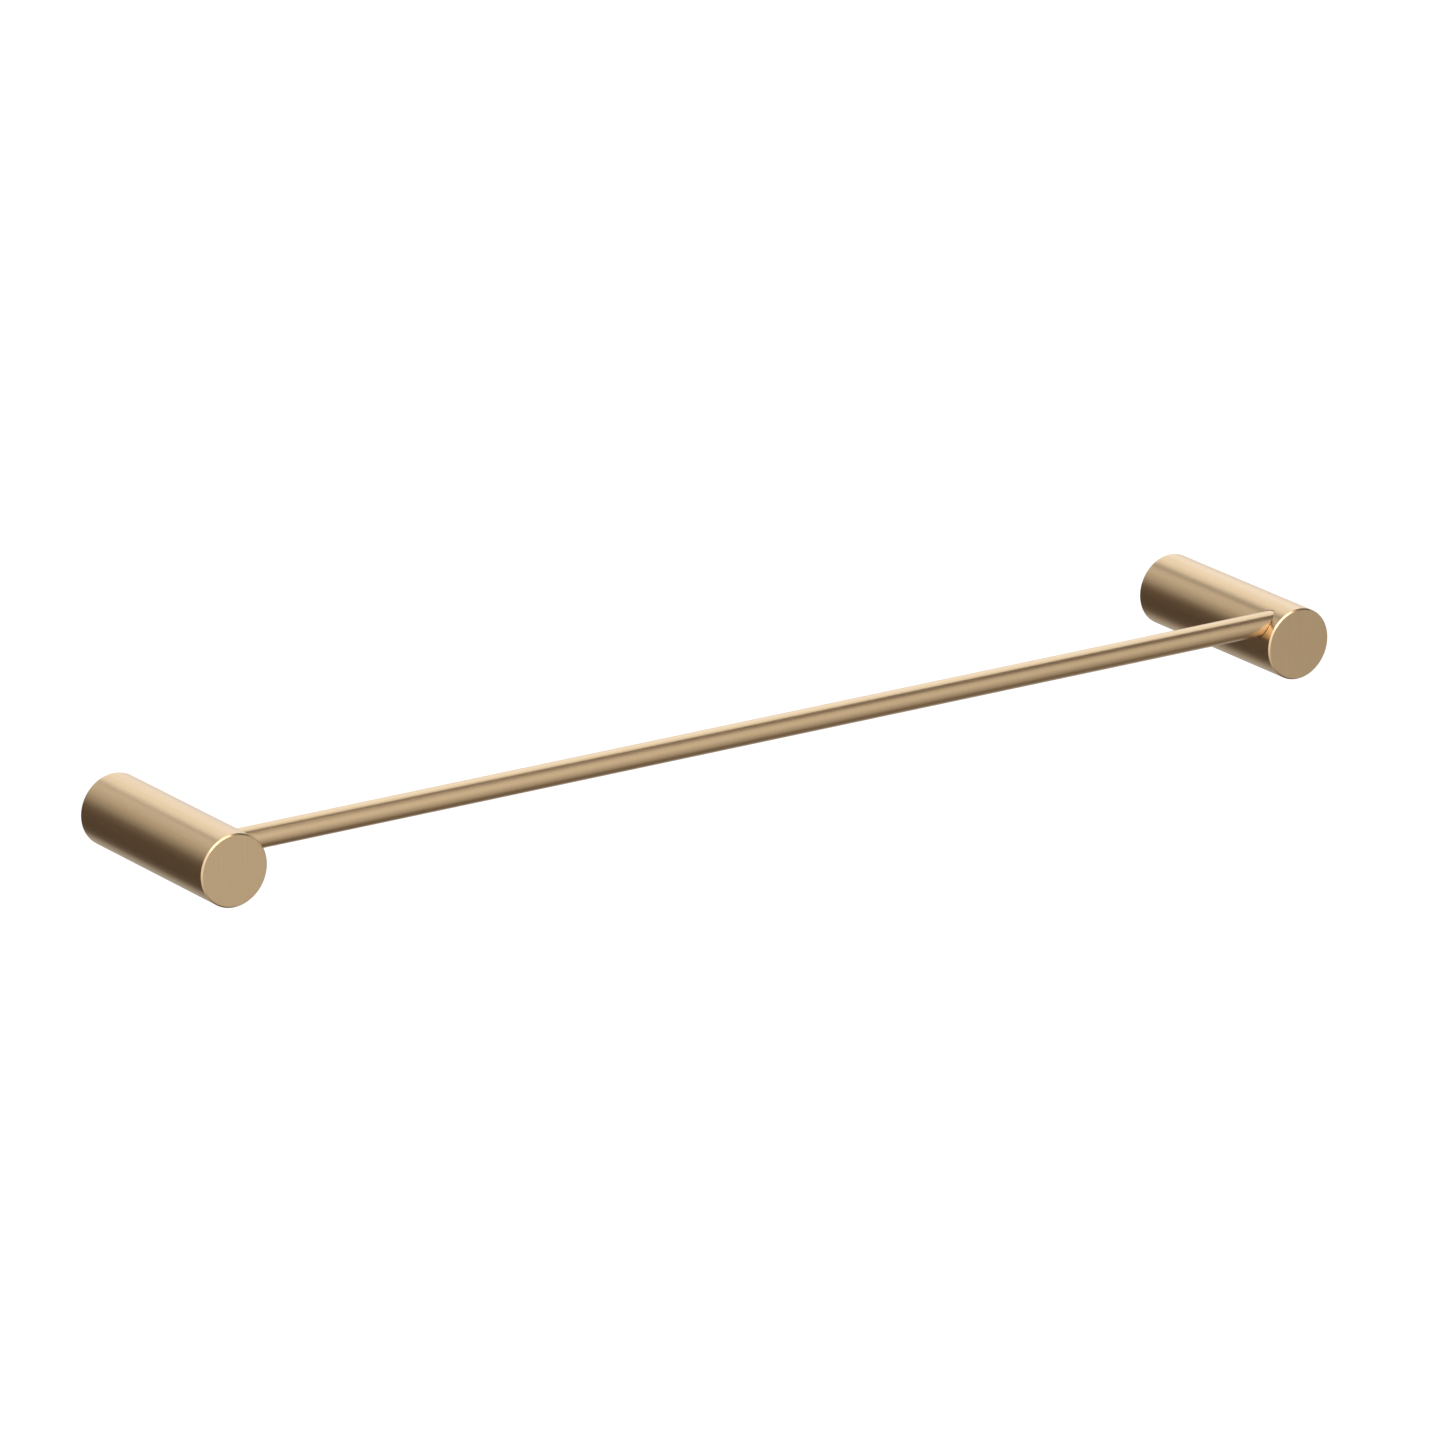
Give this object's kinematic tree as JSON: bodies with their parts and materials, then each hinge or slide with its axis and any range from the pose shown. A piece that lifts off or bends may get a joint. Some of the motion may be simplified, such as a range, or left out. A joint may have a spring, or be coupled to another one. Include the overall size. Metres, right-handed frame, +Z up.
{
  "type": "towel bar",
  "caption": "Slim wall-mounted towel bar: a round rod held between plain round posts that hide their wall brackets, for hanging towels.",
  "frame": {"origin": "on the wall, midway between the posts and level with their axes", "axes": "+X along the bar, to the right as seen from the room; +Y into the wall; +Z up"},
  "size_m": [0.45, 0.075, 0.025],
  "materials": {
    "champagne_bronze": "finely brushed champagne bronze on brass",
    "bracket_steel": "turned stainless steel, satin",
    "screw_steel": "stainless steel, plain"
  },
  "bodies": {
    "root": {"bar": "champagne_bronze", "left_post": "champagne_bronze", "right_post": "champagne_bronze", "left_wall_bracket": "bracket_steel", "right_wall_bracket": "bracket_steel", "post_lock_screws": "screw_steel", "bar_set_screws": "screw_steel"}
  },
  "joints": []
}
